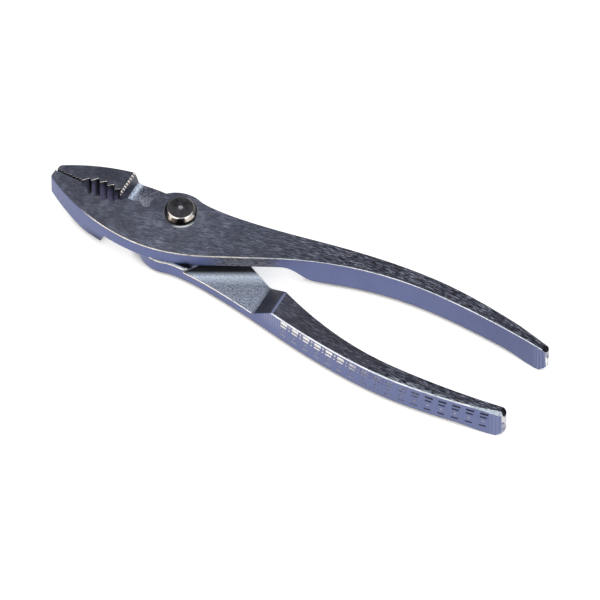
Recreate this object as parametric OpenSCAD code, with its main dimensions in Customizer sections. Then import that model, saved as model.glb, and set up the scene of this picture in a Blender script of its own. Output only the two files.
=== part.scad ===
// Slip-joint pliers with a toothed nose, a pipe grip, a wire notch and bowed steel handles.
// Millimetres, +Z up. The tool lies flat with its jaws closed: +X runs from the nose to the
// handle ends, Y = 0 is the middle line between the handles, and the origin is the middle of
// the footprint on the surface below. Both halves are like forgings, one turned over.

/* [Overall] */
// Length from the nose to the handle ends
overall_l = 200; // [190:1:215]
// Thickness of each forging from face to face
body_t = 12.6; // [11.5:0.1:14]

/* [Jaws] */
// Nose to the pivot axis, along the tool
jaw_l = 50.6; // [49:0.2:54]
// How far the lower half's nose stands back from the upper half's
nose_step = 0.5; // [0.2:0.1:1.6]
// Line between the closed jaws to the middle line of the tool
jaw_line_y = 0.6; // [0:0.1:0.8]
// Half width of the closed nose at its tip
tip_half_w = 3.1; // [2.4:0.1:3.6]
// Rounding of the nose's outer corners
tip_round = 1; // [0.5:0.1:1.2]
// Length of the flat, finely toothed nose
nose_l = 11.2; // [9.6:0.2:12.4]
// Fine teeth on each jaw
fine_n = 8; // [6:1:10]
// Depth of a fine tooth
fine_depth = 0.4; // [0.2:0.05:0.6]
// Half width of the pipe grip, to the roots of its teeth
grip_half_w = 4.3; // [3.8:0.1:4.8]
// Coarse teeth on each side of the pipe grip
coarse_n = 5; // [3:1:5]
// Distance from one coarse tooth to the next
coarse_pitch = 3.18; // [2.6:0.02:3.3]
// Depth of a coarse tooth
coarse_depth = 1.8; // [1.2:0.1:2]
// Lean of the coarse teeth towards the nose
coarse_lean = 0.35; // [0:0.05:0.5]
// Gap between the closed jaws
jaw_gap = 0.3; // [0.2:0.05:0.6]
// Bevel of the jaws' underside beside the joint
heel_bevel = 2; // [1:0.1:2.5]
// Rise of the jaws' underside at its lowest place
jaw_lift = 1; // [0.5:0.1:2]
// Pivot axis to that lowest place
jaw_low_x = 32; // [28:0.5:36]
// Rise of the jaws' underside at the nose
tip_lift = 3.8; // [2:0.1:4.4]

/* [Joint] */
// Half width of the joint at its widest
joint_half_w = 14.9; // [14.4:0.1:16.5]
// Pivot axis to the widest place, towards the nose
belly_x = 10; // [8:0.5:14]
// Pivot axis to the middle line of the tool
pivot_y = 5.6; // [4.8:0.1:6]
// Distance between the two places of the pivot
slip = 9; // [8.4:0.1:9.6]
// Gap between the two lapped plates
lap_gap = 0.1; // [0.05:0.05:0.2]
// Radius of the flat lap faces round the joint
lap_pad_r = 17.3; // [16.5:0.1:20]
// Depth of the lower half's forged relief behind its lap face
lower_relief = 1.9; // [0.5:0.1:2.2]
// Depth of the upper half's relief at the pivot, from where it slopes to the ramp
upper_relief = 0.1; // [0:0.1:1.8]
// Depth of the upper half's relief at the foot of its ramp
upper_relief_end = 0.9; // [0.4:0.1:2.2]
// Pivot axis to the wall where a jaw gains its full thickness
wall_x = 22; // [21.6:0.1:23]
// Slope of that wall over the height of one plate
wall_draft = 1.6; // [0.5:0.1:2]
// Clearance between a plate and the other half's wall
wall_gap = 0.5; // [0.4:0.1:0.8]
// Pivot axis to the foot of the lower half's ramp up to its handle
ramp_x = 43; // [41:0.5:45]
// Length of that ramp
ramp_l = 8.8; // [7:0.2:10]
// Pivot axis to the foot of the ramp under the upper half's handle
upper_ramp_x = 45.6; // [43:0.2:47]
// Length of that ramp
upper_ramp_l = 7.2; // [6:0.2:9]
// Radius of the boss round the pivot
boss_r = 12.4; // [11.5:0.1:12.6]
// Boss centre to the middle line of the tool
boss_y = 2; // [1.6:0.1:2.4]
// Reach of a plate past the middle line, at the wire notch
plate_reach = 2; // [1.4:0.1:2.4]
// Radius of the wire notch
notch_r = 1.5; // [1:0.1:1.8]
// Depth of the wire notch
notch_depth = 0.5; // [0.3:0.1:1]

/* [Pivot] */
// Diameter of the bolt head at its seat
head_d = 12.2; // [11:0.1:13]
// Diameter of the flat top of the head
head_top_d = 10; // [8:0.1:10.5]
// Height of the head above the upper half
head_h = 2.9; // [1.8:0.1:3.4]
// Height of the head's straight rim
head_rim = 1; // [0.3:0.1:1.2]
// Diameter of the centre mark in the head
pip_d = 1.6; // [1:0.1:2.4]
// Depth of the centre mark
pip_depth = 0.4; // [0.2:0.1:0.8]
// Depth of the spot face under the head
seat_depth = 0.3; // [0.1:0.05:0.6]
// Clearance round the head in its spot face
seat_gap = 0.5; // [0.3:0.1:0.8]
// Diameter of the round shank
shank_d = 8; // [7:0.1:8.2]
// Distance across the flats of the lower shank
flats_w = 5.6; // [5:0.1:6]
// Diameter of the threaded end
stud_d = 5; // [4:0.1:5]
// Diameter of the nut
nut_d = 11.8; // [10:0.1:12]
// Thickness of the nut, which the tool stands on
nut_t = 2.7; // [2.3:0.1:3.2]
// How far the threaded end lies inside the nut
stud_sink = 0.3; // [0.1:0.1:0.6]
// Width of the screwdriver slot in the nut
nut_slot_w = 1.4; // [1:0.1:2]
// Depth of the screwdriver slot
nut_slot_d = 0.9; // [0.5:0.1:1.2]
// Clearance round the nut in its pocket
nut_gap = 0.4; // [0.3:0.1:0.6]
// Radial running clearance of the shank, the flats and the thread
run_gap = 0.05; // [0.02:0.01:0.1]

/* [Handles] */
// Half spread of the handles at their widest
bow_half_w = 24.3; // [22:0.1:26]
// Pivot axis to the widest place of the handles
bow_x = 100; // [95:1:105]
// Width of a handle at the bow
grip_w = 6.2; // [5:0.1:7]
// Half spread of the handle ends
end_half_w = 18.5; // [16:0.1:20]
// Width of a handle at its end
end_w = 3.7; // [3:0.1:4.5]
// Length over which a handle end is rounded
end_round = 2; // [1:0.1:3]
// Bevel of the handle ends on the top edge
end_bevel_top = 1.6; // [0.6:0.1:2.4]
// Bevel of the handle ends on the bottom edge
end_bevel_under = 3; // [1:0.1:4]
// Drop of the handle ends below the joint, so that they stand on the surface
end_drop = 1.6; // [1:0.1:2]
// Length of the flat foot under each handle end
foot_l = 5.4; // [4:0.2:8]
// Length over which the underside drops to the foot
drop_l = 8; // [5:0.5:12]
// Half width at the waist behind the pivot
waist_half_w = 13.1; // [12.2:0.1:13.4]
// Pivot axis to the waist
waist_x = 11; // [9:0.5:13]
// Half width at the root of the handles
root_half_w = 18.5; // [17.5:0.1:19.5]
// Pivot axis to the root of the handles
root_x = 50; // [46:1:54]
// Pivot axis to the place where the handles part
throat_x = 34.8; // [33:0.1:37]

/* [Hidden] */
$fn = 96;

// Steps along each curved stretch of the outline, and round the boss
curve_n = 12;
boss_n = 18;
// Overshoot of cuts past the faces they open
over = 1;

handle_l = overall_l - jaw_l;
pivot = [0, pivot_y, 0];
mid_z = body_t / 2;
lap_z = mid_z + lap_gap / 2;
// Slopes of the outline where its curves join: at the throat, at the handle root,
// and at a handle end on its inner and outer edge
throat_slope = 0.5;
root_slope = 0.2;
inner_end_slope = -0.14;
outer_end_slope = -0.2;
// Half lengths of the straight stretch at the throat, before and after the parting place
throat_before = 15;
throat_after = 5;
// Angle on the boss where its outline leaves for the waist
boss_leave = 70;
// Squareness of the pipe grip's hollow
grip_power = 4;
// Lead-in bevel where the nose teeth end
tip_lead = 0.4;

plate_x = -(wall_x - wall_gap);
grip_x = -(jaw_l - nose_l);
grip_l = plate_x - grip_x;
lower_jaw_l = jaw_l - nose_step;
pocket_depth = nut_t - end_drop + run_gap;
// Rough height of the forging, before its top and its underside are ground
blank_low = -end_drop - over;
blank_top = body_t - blank_low;
bolt_seat_z = body_t - seat_depth + run_gap;

// Quadratic curve from p0 to p1 with control corner c, without its last point
function curve(p0, c, p1) =
    [for (i = [0 : curve_n - 1]) let (t = i / curve_n)
        (1 - t) * (1 - t) * p0 + 2 * t * (1 - t) * c + t * t * p1];

// Corner where the tangent of slope s0 at p0 meets the tangent of slope s1 at p1
function corner(p0, s0, p1, s1) =
    let (x = (p1[1] - p0[1] + s0 * p0[0] - s1 * p1[0]) / (s0 - s1))
    [x, p0[1] + s0 * (x - p0[0])];

// Bend that leaves p0 with slope s0 and reaches p1 with slope s1
function bend(p0, s0, p1, s1) = curve(p0, corner(p0, s0, p1, s1), p1);

// Half width of the pipe grip at a place x along it
function grip_half(x) =
    grip_half_w * (1 - pow(abs(2 * (x - grip_x) / grip_l - 1), grip_power));

// Edge from the nose past the belly and the throat to the inner side of the handle end
function inner_edge(nose, line) =
    let (tip = [-nose, -tip_half_w + tip_round],
         belly = [-belly_x, -joint_half_w],
         rise = (joint_half_w - tip_half_w) / (nose - belly_x) * 2,
         jaw = [-nose + tip_round, -tip_half_w - rise * tip_round],
         throat_in = [throat_x - throat_before, line - throat_before * throat_slope],
         throat_out = [throat_x + throat_after, line + throat_after * throat_slope],
         bow = [bow_x + end_round, bow_half_w - grip_w],
         end = [handle_l - end_round, end_half_w - end_w])
    concat(
        curve(tip, [-nose, -tip_half_w], jaw),
        curve(jaw, [-(nose + belly_x) / 2, -joint_half_w], belly),
        bend(belly, 0, throat_in, throat_slope),
        bend(throat_out, throat_slope, bow, 0),
        bend(bow, 0, end, inner_end_slope));

// Round end of the handle
function handle_end() =
    let (inner = [handle_l - end_round, end_half_w - end_w],
         outer = [handle_l - end_round, end_half_w],
         tip = [handle_l, end_half_w - end_w / 2])
    concat(
        curve(inner, [handle_l, inner[1] + inner_end_slope * end_round], tip),
        curve(tip, [handle_l, outer[1] + outer_end_slope * end_round], outer));

// Edge from the handle end along the outer side to the waist, then round the boss
function outer_edge() =
    let (end = [handle_l - end_round, end_half_w],
         bow = [bow_x, bow_half_w],
         root = [root_x, root_half_w],
         waist = [waist_x, waist_half_w],
         leave = [boss_r * cos(boss_leave), boss_y + boss_r * sin(boss_leave)],
         boss_end = 180 - asin((plate_reach - boss_y) / boss_r))
    concat(
        bend(end, outer_end_slope, bow, 0),
        bend(bow, 0, root, root_slope),
        bend(root, root_slope, waist, 0),
        bend(waist, 0, leave, -1 / tan(boss_leave)),
        [for (i = [0 : boss_n]) let (a = boss_leave + (boss_end - boss_leave) * i / boss_n)
            [boss_r * cos(a), boss_y + boss_r * sin(a)]]);

// Coarse teeth of the pipe grip and fine teeth of the nose, from the plate to the tip
function toothed_edge(nose, line) =
    let (lip = line - jaw_gap / 2,
         fine_l = nose + grip_x - tip_lead,
         chamfer = plate_reach / 2)
    concat(
        [[plate_x + chamfer, plate_reach], [plate_x, plate_reach - chamfer], [plate_x, lip]],
        [for (i = [0 : 2 * coarse_n - 1])
            let (x = grip_x + (coarse_n - i / 2) * coarse_pitch,
                 tip = i % 2 == 0)
            [x + (tip ? 0 : coarse_lean),
             min(lip, line - grip_half(x) + (tip ? coarse_depth : 0))]],
        [for (i = [0 : 2 * fine_n])
            [grip_x - i * fine_l / (2 * fine_n), lip - (i % 2 == 0 ? 0 : fine_depth)]],
        [[-nose, lip - tip_lead]]);

// Plan view of a half with its jaw towards -Y and its handle towards +Y: nose is the length
// of its jaw, and line is where its teeth end and its handle starts
function half_outline(nose, line) =
    concat(inner_edge(nose, line), handle_end(), outer_edge(), toothed_edge(nose, line));

// Prism across the whole tool whose side view is the outline [x, z]
module across(outline) {
    reach = 2 * bow_half_w;
    translate([0, reach, 0])
        rotate([90, 0, 0])
            linear_extrude(2 * reach)
                polygon(outline);
}

// Everything goes from the pivot's own place to the middle of the footprint, with the feet
// of the handle ends on the surface
module placed() {
    translate([jaw_l - overall_l / 2, 0, end_drop]) children();
}

// A half's forging with its top and bottom changed over, as the lower half lies
module turned_over() {
    translate([0, 0, body_t]) rotate([180, 0, 0]) children();
}

// Room for the other half's plate: a wall at the jaw, a lap face, a relief and a ramp.
// relief is its depth at the pivot and at the ramp, and ramp is its foot and its length
module lap_pocket(relief, ramp) {
    low = blank_low - over;
    ramp_h = lap_z + relief[1];
    function wall_at(z) = -wall_x - wall_draft * (1 - z / lap_z);
    function ramp_at(z) = ramp[0] + ramp[1] * (1 - z / ramp_h);
    across([[wall_at(lap_z), lap_z], [wall_at(low), low], [ramp_at(low), low],
            [ramp_at(lap_z), lap_z]]);
    difference() {
        across([[0, 0], [ramp_at(0), 0], [ramp_at(ramp_h), ramp_h],
                [0, lap_z + relief[0]]]);
        translate([0, 0, -over]) cylinder(r = lap_pad_r, h = body_t + 2 * over);
    }
}

// Rounded notch that shears wire, at the foot of the boss
module wire_notch() {
    inset = notch_r - notch_depth;
    translate([-boss_r - inset, plate_reach + inset, blank_low - over])
        cylinder(r = notch_r, h = blank_top - blank_low + 2 * over);
}

module half_blank(nose, line, relief, ramp) {
    difference() {
        translate([0, 0, blank_low])
            linear_extrude(blank_top - blank_low)
                polygon(half_outline(nose, line));
        lap_pocket(relief, ramp);
        wire_notch();
    }
}

// Side view that both halves are ground to: a flat top, a lifted underside below the jaws,
// a flat underside at the joint, and handle ends that drop to their feet
module ground_to_height() {
    heel = -wall_x - wall_draft;
    front = -jaw_l - over;
    foot_end = handle_l - end_bevel_under;
    foot = foot_end - foot_l;
    intersection() {
        children();
        across([[front, body_t], [handle_l - end_bevel_top, body_t],
                [handle_l, body_t - end_bevel_top], [handle_l, end_bevel_under - end_drop],
                [foot_end, -end_drop], [foot, -end_drop], [foot - drop_l, 0],
                [heel + heel_bevel, 0], [heel, heel_bevel], [-jaw_low_x, jaw_lift],
                [front, tip_lift]]);
    }
}

// Two round places for the pivot, joined by a neck that only the bolt's flats pass
module pivot_slot() {
    shank_r = shank_d / 2 + run_gap;
    neck_w = flats_w + 2 * run_gap;
    nut_r = nut_d / 2 + nut_gap;
    for (y = [pivot_y, pivot_y - slip])
        translate([0, y, 0]) {
            translate([0, 0, -over]) cylinder(r = shank_r, h = body_t);
            translate([0, 0, -over]) cylinder(r = nut_r, h = pocket_depth + over);
        }
    translate([-neck_w / 2, pivot_y - slip, -over]) cube([neck_w, slip, body_t]);
    translate([-nut_r, pivot_y - slip, -over]) cube([2 * nut_r, slip, pocket_depth + over]);
}

module upper_half() {
    color([0.36, 0.37, 0.40])
        placed()
            difference() {
                ground_to_height()
                    half_blank(jaw_l, jaw_line_y, [upper_relief, upper_relief_end],
                               [upper_ramp_x, upper_ramp_l]);
                translate(pivot) {
                    cylinder(r = shank_d / 2 + run_gap, h = body_t + over);
                    translate([0, 0, body_t - seat_depth])
                        cylinder(r = head_d / 2 + seat_gap, h = seat_depth + over);
                }
            }
}

module lower_half() {
    color([0.42, 0.43, 0.46])
        placed()
            difference() {
                ground_to_height()
                    turned_over()
                        half_blank(lower_jaw_l, -jaw_line_y, [lower_relief, lower_relief],
                                   [ramp_x, ramp_l]);
                pivot_slot();
            }
}

// Bevelled head, round shank in the upper half, flats in the lower half, threaded end
module pivot_bolt() {
    top_z = body_t + head_h;
    rim_z = body_t + head_rim;
    flats_z = pocket_depth + run_gap;
    stud_z = stud_sink - end_drop;
    color([0.55, 0.54, 0.52])
        placed()
            translate(pivot)
                difference() {
                    union() {
                        rotate_extrude()
                            polygon([[0, mid_z], [shank_d / 2, mid_z],
                                     [shank_d / 2, bolt_seat_z], [head_d / 2, bolt_seat_z],
                                     [head_d / 2, rim_z], [head_top_d / 2, top_z], [0, top_z]]);
                        intersection() {
                            translate([0, 0, flats_z])
                                cylinder(d = shank_d, h = mid_z - flats_z);
                            translate([-flats_w / 2, -shank_d, 0])
                                cube([flats_w, 2 * shank_d, body_t]);
                        }
                        translate([0, 0, stud_z]) cylinder(d = stud_d, h = mid_z - stud_z);
                    }
                    translate([0, 0, top_z - pip_depth])
                        cylinder(d1 = 0, d2 = pip_d, h = pip_depth);
                }
}

// Low round nut that holds the joint from below, with a slot for a screwdriver
module pivot_nut() {
    color([0.50, 0.50, 0.50])
        placed()
            translate(pivot - [0, 0, end_drop])
                difference() {
                    cylinder(d = nut_d, h = nut_t);
                    translate([0, 0, -over])
                        cylinder(d = stud_d + 2 * run_gap, h = nut_t + 2 * over);
                    translate([-nut_d, -nut_slot_w / 2, -over])
                        cube([2 * nut_d, nut_slot_w, nut_slot_d + over]);
                }
}

upper_half();
lower_half();
pivot_bolt();
pivot_nut();
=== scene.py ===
# %% [markdown]
# # Slip-joint pliers: a lesson in steel
#
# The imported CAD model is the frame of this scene. It has two forged halves, a pivot bolt and a
# nut, and every one of them already has its true place and size. Blender adds what a solid
# model leaves out: rounded and worn edges, stamped grip marks, and steel that looks ground,
# forged or polished. Everything is in metres, and the frame's own pieces are never moved.

# %% Load the frame
import math

import bmesh
import bpy
from mathutils import Matrix, Vector


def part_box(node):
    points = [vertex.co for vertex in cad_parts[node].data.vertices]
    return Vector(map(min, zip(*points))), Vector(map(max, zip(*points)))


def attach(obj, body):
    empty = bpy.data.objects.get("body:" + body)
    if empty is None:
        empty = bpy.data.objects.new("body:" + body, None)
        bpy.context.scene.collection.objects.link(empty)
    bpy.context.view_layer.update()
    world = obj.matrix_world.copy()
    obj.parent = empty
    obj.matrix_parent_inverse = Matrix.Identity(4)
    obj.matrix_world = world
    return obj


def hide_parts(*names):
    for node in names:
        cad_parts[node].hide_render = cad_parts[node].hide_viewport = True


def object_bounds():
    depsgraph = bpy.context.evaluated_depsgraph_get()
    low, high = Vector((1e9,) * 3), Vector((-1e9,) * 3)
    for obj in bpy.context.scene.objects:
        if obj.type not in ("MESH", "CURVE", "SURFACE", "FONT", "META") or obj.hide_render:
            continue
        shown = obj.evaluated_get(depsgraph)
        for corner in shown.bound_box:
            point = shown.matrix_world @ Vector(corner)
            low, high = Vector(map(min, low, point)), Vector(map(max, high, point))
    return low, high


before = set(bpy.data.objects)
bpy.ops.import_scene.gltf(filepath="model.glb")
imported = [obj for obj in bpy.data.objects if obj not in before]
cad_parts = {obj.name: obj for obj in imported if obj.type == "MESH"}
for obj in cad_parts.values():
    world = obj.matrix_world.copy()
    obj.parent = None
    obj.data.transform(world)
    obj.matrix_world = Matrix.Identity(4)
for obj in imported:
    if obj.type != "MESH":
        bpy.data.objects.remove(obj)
cad_low, cad_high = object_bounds()
print("CAD box in mm:", [round(1000 * side, 1) for side in cad_high - cad_low])

# %% [markdown]
# ## Landmarks
#
# Places along the tool are easiest to name as a distance from the pivot: the jaws are on the
# minus side and the handles on the plus side. The bolt's own box gives the pivot, and the upper
# half's box gives the height of the ground top face. The other places are named here once: the
# ends of the fine teeth and of the pipe grip, the wall beside the notch, the line where the jaws
# meet, the foot and the crest of the ramp, the round pad, and the two places of the bolt.

# %% Landmarks
MM = 0.001
UP = Vector((0, 0, 1))
bolt_low, bolt_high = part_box("pivot_bolt")
pivot = (bolt_low + bolt_high) / 2
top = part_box("upper_half")[1].z
FOOT_DROP = 1.6
lap = (top + FOOT_DROP * MM) / 2
# Heights in mm above the floor, and places in mm from the pivot
TOP, LAP = top / MM, lap / MM
NOSE_END = -39.2
GRIP_END = -20.9
JAW_WALL = -22.0
JAW_LINE = 0.6
RAMP_FOOT = 43.0
RAMP_ZONE = (38, 60)
WALL_ZONE = (-25, -20)
CREST_START = 51.7
PAD_RADIUS = 17.3
PAD_STEP = 2.1
BOLT_SEATS = (5.6, -3.4)
BOLT_REACH = 7.4


def along(x):
    """Frame X in metres of a place that is x mm from the pivot."""
    return pivot.x + x * MM


def from_pivot(point):
    """Distance of a point from the pivot along the tool, in mm."""
    return (point.x - pivot.x) / MM


def middle_x(face):
    """Distance of the middle of a face from the pivot along the tool, in mm."""
    return from_pivot(face.calc_center_median())


def in_zone(x, zone):
    """True for an x that lies between the two ends of a zone."""
    return zone[0] < x < zone[1]


print("pivot at", [round(1000 * value, 2) for value in pivot], "top at", round(1000 * top, 2))

# %% [markdown]
# ## Node helpers
#
# Every finish here is a tree of shader nodes. Four small helpers keep the trees short to write:
# they add a node with its sockets set or linked, mix two colours by a share, turn one range of
# values into another, and combine two values.


# %% Node helpers
def put(tree, kind, sockets=None, **settings):
    """Adds a node, sets its settings, and sets or links its input sockets."""
    node = tree.nodes.new(kind)
    for name, value in settings.items():
        setattr(node, name, value)
    for socket, value in (sockets or {}).items():
        if isinstance(value, bpy.types.NodeSocket):
            tree.links.new(value, node.inputs[socket])
        else:
            node.inputs[socket].default_value = value
    return node


def mixed(tree, share, first, second):
    """Colour socket that goes from the first colour to the second as share goes from 0 to 1."""
    first, second = (value if isinstance(value, bpy.types.NodeSocket) else (*value, 1)
                     for value in (first, second))
    sockets = {0: share, 6: first, 7: second}
    return put(tree, "ShaderNodeMix", sockets, data_type="RGBA").outputs[2]


def ranged(tree, value, low, high, to_low=0.0, to_high=1.0):
    """Value socket that turns the range low..high into to_low..to_high, and stops at its ends."""
    node = put(tree, "ShaderNodeMapRange",
               {"Value": value, "From Min": low, "From Max": high,
                "To Min": to_low, "To Max": to_high})
    return node.outputs["Result"]


def sum_of(tree, first, second, operation="ADD"):
    """Value socket of a plain sum, or of another operation, on two values."""
    return put(tree, "ShaderNodeMath", {0: first, 1: second}, operation=operation).outputs[0]


print("helpers ready")

# %% [markdown]
# ## Shared effects
#
# The same marks appear in several finishes, so each is a node group with named sockets.
# Grinding leaves short streaks along the tool: a noise that is stretched in X. Forging leaves a
# grain of tiny dents with a few bright facets: a fine noise and a cell pattern. Handling leaves
# slow clouds of lighter and darker steel: a large, soft noise.


# %% Effect groups
def new_group(name, inputs, outputs):
    """Shader node group with value sockets: the group, the place, its inputs and its outputs."""
    group = bpy.data.node_groups.new(name, "ShaderNodeTree")
    for socket in inputs:
        group.interface.new_socket(socket, in_out="INPUT", socket_type="NodeSocketFloat")
    for socket in outputs:
        group.interface.new_socket(socket, in_out="OUTPUT", socket_type="NodeSocketFloat")
    place = put(group, "ShaderNodeTexCoord").outputs["Object"]
    given, result = (group.nodes.new("NodeGroup" + end) for end in ("Input", "Output"))
    return group, place, given.outputs, result.inputs


STREAK_TURN = math.radians(13)

streaks, place, given, result = new_group("grinding_streaks", ["Along", "Across"], ["Streak"])
turned = put(streaks, "ShaderNodeVectorRotate", {"Vector": place, "Angle": -STREAK_TURN},
             rotation_type="Z_AXIS").outputs[0]
stretch = put(streaks, "ShaderNodeCombineXYZ",
              {"X": given["Along"], "Y": given["Across"], "Z": given["Across"]}).outputs[0]
stretched = put(streaks, "ShaderNodeVectorMath", {0: turned, 1: stretch},
                operation="MULTIPLY").outputs[0]
noise = put(streaks, "ShaderNodeTexNoise",
            {"Vector": stretched, "Scale": 1, "Detail": 3, "Roughness": 0.55, "Distortion": 0.2})
streaks.links.new(noise.outputs["Fac"], result["Streak"])

# On a handle the streaks follow its bow, so Y is measured from a curved line along it
bowed, place, given, result = new_group("bowed_streaks", ["Along", "Across"], ["Streak", "Aside"])
axes = put(bowed, "ShaderNodeSeparateXYZ", {"Vector": place}).outputs
run = sum_of(bowed, axes["X"], along(40), "SUBTRACT")
line = sum_of(bowed, run, sum_of(bowed, sum_of(bowed, run, -1.75, "MULTIPLY"), 0.22), "MULTIPLY")
aside = sum_of(bowed, sum_of(bowed, axes["Y"], 0, "ABSOLUTE"), line, "SUBTRACT")
half_number = sum_of(bowed, sum_of(bowed, axes["Y"], 0, "SIGN"), 7.3, "MULTIPLY")
stretched = put(bowed, "ShaderNodeCombineXYZ",
                {"X": sum_of(bowed, axes["X"], given["Along"], "MULTIPLY"),
                 "Y": sum_of(bowed, aside, given["Across"], "MULTIPLY"),
                 "Z": half_number}).outputs[0]
noise = put(bowed, "ShaderNodeTexNoise",
            {"Vector": stretched, "Scale": 1, "Detail": 3, "Roughness": 0.6, "Distortion": 0.25})
bowed.links.new(noise.outputs["Fac"], result["Streak"])
bowed.links.new(aside, result["Aside"])

grain, place, given, result = new_group("forged_grain", ["Size"], ["Grain", "Sparkle"])
noise = put(grain, "ShaderNodeTexNoise",
            {"Vector": place, "Scale": given["Size"], "Detail": 4, "Roughness": 0.7})
cells = put(grain, "ShaderNodeTexVoronoi", {"Vector": place, "Scale": given["Size"]})
facet = put(grain, "ShaderNodeSeparateColor", {"Color": cells.outputs["Color"]})
grain.links.new(noise.outputs["Fac"], result["Grain"])
grain.links.new(ranged(grain, facet.outputs["Red"], 0.72, 0.95), result["Sparkle"])

clouds, place, given, result = new_group("slow_clouds", ["Size"], ["Cloud"])
noise = put(clouds, "ShaderNodeTexNoise",
            {"Vector": place, "Scale": given["Size"], "Detail": 3, "Roughness": 0.55})
clouds.links.new(ranged(clouds, noise.outputs["Fac"], 0.3, 0.7), result["Cloud"])
print("effect groups:", [group.name for group in bpy.data.node_groups])

# %% [markdown]
# ## Finishes of the forgings
#
# The top faces are ground: dark steel with fine streaks, calm on the jaws and the joint and
# strongly flecked on the handles. The flanks are a cool satin. The lap recesses keep their forged
# grain. The ramps and walls beside them are smooth and dark. The edges are worn, and a painted
# highlight makes them bright.
# Each finish is a metal whose colour, roughness and bump come from the shared groups. A small
# class holds its tree, so that a mask by place or a layer of colour is one short call.


# %% Finish helper
class Finish:
    """A metal finish: its material, and short ways to add masks and colours to its tree."""

    def __init__(self, name):
        self.material = bpy.data.materials.new(name)
        self.material.use_nodes = True
        self.tree = self.material.node_tree
        self.shader = self.tree.nodes["Principled BSDF"]
        self.shader.inputs["Metallic"].default_value = 1
        self.place = put(self.tree, "ShaderNodeTexCoord").outputs["Object"]
        self.axes = put(self.tree, "ShaderNodeSeparateXYZ", {"Vector": self.place}).outputs
        print("finish", name)

    def fade(self, value, low, high, *to):
        """Mask from 0 to 1, or between the two values in to, as a value goes from low to high."""
        return ranged(self.tree, value, low, high, *to)

    def along(self, low, high, *to):
        """Mask along the tool, between two distances from the pivot in mm."""
        return self.fade(self.axes["X"], along(low), along(high), *to)

    def across(self, low, high, *to):
        """Mask across the tool, between two distances from its middle line in mm."""
        return self.fade(self.axes["Y"], low * MM, high * MM, *to)

    def upward(self, low, high, *to):
        """Mask upwards, between two heights above the floor in mm."""
        return self.fade(self.axes["Z"], low * MM, high * MM, *to)

    def within(self, value, low, high, *to):
        """Mask between two lengths in mm, by a value in metres."""
        return self.fade(value, low * MM, high * MM, *to)

    def times(self, mask, *others):
        """Product of masks: what lies in all of them."""
        for other in others:
            mask = sum_of(self.tree, mask, other, "MULTIPLY")
        return mask

    def most(self, mask, *others):
        """Largest of masks: what lies in any of them."""
        for other in others:
            mask = sum_of(self.tree, mask, other, "MAXIMUM")
        return mask

    def mix(self, share, first, second):
        """Colour between two colours."""
        return mixed(self.tree, share, first, second)

    def layers(self, base, *coats):
        """Colour with coats [share, colour] laid over it, one after the other."""
        for share, colour in coats:
            base = self.mix(share, base, colour)
        return base

    def vector(self, operation, first, second=(0, 0, 0)):
        """Result of a vector operation: a vector, or a value for a length or a product."""
        node = put(self.tree, "ShaderNodeVectorMath", {0: first, 1: second}, operation=operation)
        return node.outputs["Vector" if operation in ("SUBTRACT", "MULTIPLY") else "Value"]

    def marks(self, group, **values):
        """Outputs of a shared effect, with its inputs set."""
        return put(self.tree, "ShaderNodeGroup", values, node_tree=group).outputs

    def waves(self, scale, distortion, direction):
        """Bands across a direction, as a file or a row of beads leaves them."""
        sockets = {"Vector": self.place, "Scale": scale, "Distortion": distortion}
        node = put(self.tree, "ShaderNodeTexWave", sockets, bands_direction=direction)
        return node.outputs["Fac"]

    def link(self, value, socket):
        """Links a value to a socket of the shader."""
        self.tree.links.new(value, self.shader.inputs[socket])

    def dress(self, base, wear, rough, smooth, low=0.3, high=0.7):
        """Gives the shader its colour, and a roughness that follows the wear."""
        self.link(base, "Base Color")
        self.link(self.fade(wear, low, high, rough, smooth), "Roughness")

    def dent(self, height, depth, strength):
        """Gives the shader a bump of a depth in metres."""
        bump = put(self.tree, "ShaderNodeBump",
                   {"Height": height, "Distance": depth, "Strength": strength})
        self.link(bump.outputs["Normal"], "Normal")


print("finish helper ready")

# %% [markdown]
# The top faces were ground on a belt, so short streaks run along the tool. They are calm and
# dark on the jaws and the joint, and on the handles they are bold flecks that follow the bow.
# A photo texture would be the usual way, but it can't be resized. Stretched noises give the
# streaks here, and masks along X and Y fade one look into the next, so that the top stays one
# face.

# %% Ground top faces
# Side of the bolt where a pale crescent is painted as a reflection
GLINT_SIDE = Vector((0.62, -0.78, 0))

ground = Finish("ground_steel")
fleck = ground.marks(streaks, Along=420, Across=2300)["Streak"]
brush = ground.marks(streaks, Along=900, Across=5200)["Streak"]
cloud = ground.marks(clouds, Size=75)["Cloud"]
patch = ground.marks(clouds, Size=190)["Cloud"]
on_jaw = ground.along(-4, -26)
neck = ground.times(ground.along(6, 22), ground.along(60, 45))
shiny = ground.times(ground.fade(patch, 0.5, 0.95, 0, 0.42), ground.fade(neck, 0, 1, 1, 0.4))
fleck_share = ground.times(ground.fade(on_jaw, 0, 1, 1, 0.45),
                           ground.fade(patch, 0.1, 0.9, 0.4, 1.25))
# The far jaw and the back of the boss are painted darkest, as shade
at_back = ground.times(ground.across(1.5, 4.5), ground.along(4, -6, 0, 0.38))
calm = ground.layers(
    ground.mix(on_jaw, (0.138, 0.149, 0.207), (0.057, 0.062, 0.087)),
    (neck, (0.066, 0.073, 0.112)),
    (ground.fade(cloud, 0, 1, 0.45, 0), (0.055, 0.058, 0.072)),
    (ground.fade(patch, 0.15, 0.7, 0.5, 0), (0.056, 0.060, 0.078)),
    (shiny, (0.24, 0.262, 0.335)),
    (ground.fade(brush, 0.36, 0.66, 0, 0.35), (0.24, 0.26, 0.33)),
    (ground.times(ground.fade(fleck, 0.46, 0.32, 0, 0.75), fleck_share), (0.036, 0.038, 0.050)),
    (ground.times(ground.fade(fleck, 0.52, 0.66, 0, 0.6), fleck_share), (0.30, 0.32, 0.40)),
    (at_back, (0.030, 0.033, 0.044)))
bow = ground.marks(bowed, Along=420, Across=2500)
near_root = ground.times(ground.across(0, -1), ground.along(112, 84, 0, 0.62))
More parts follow.
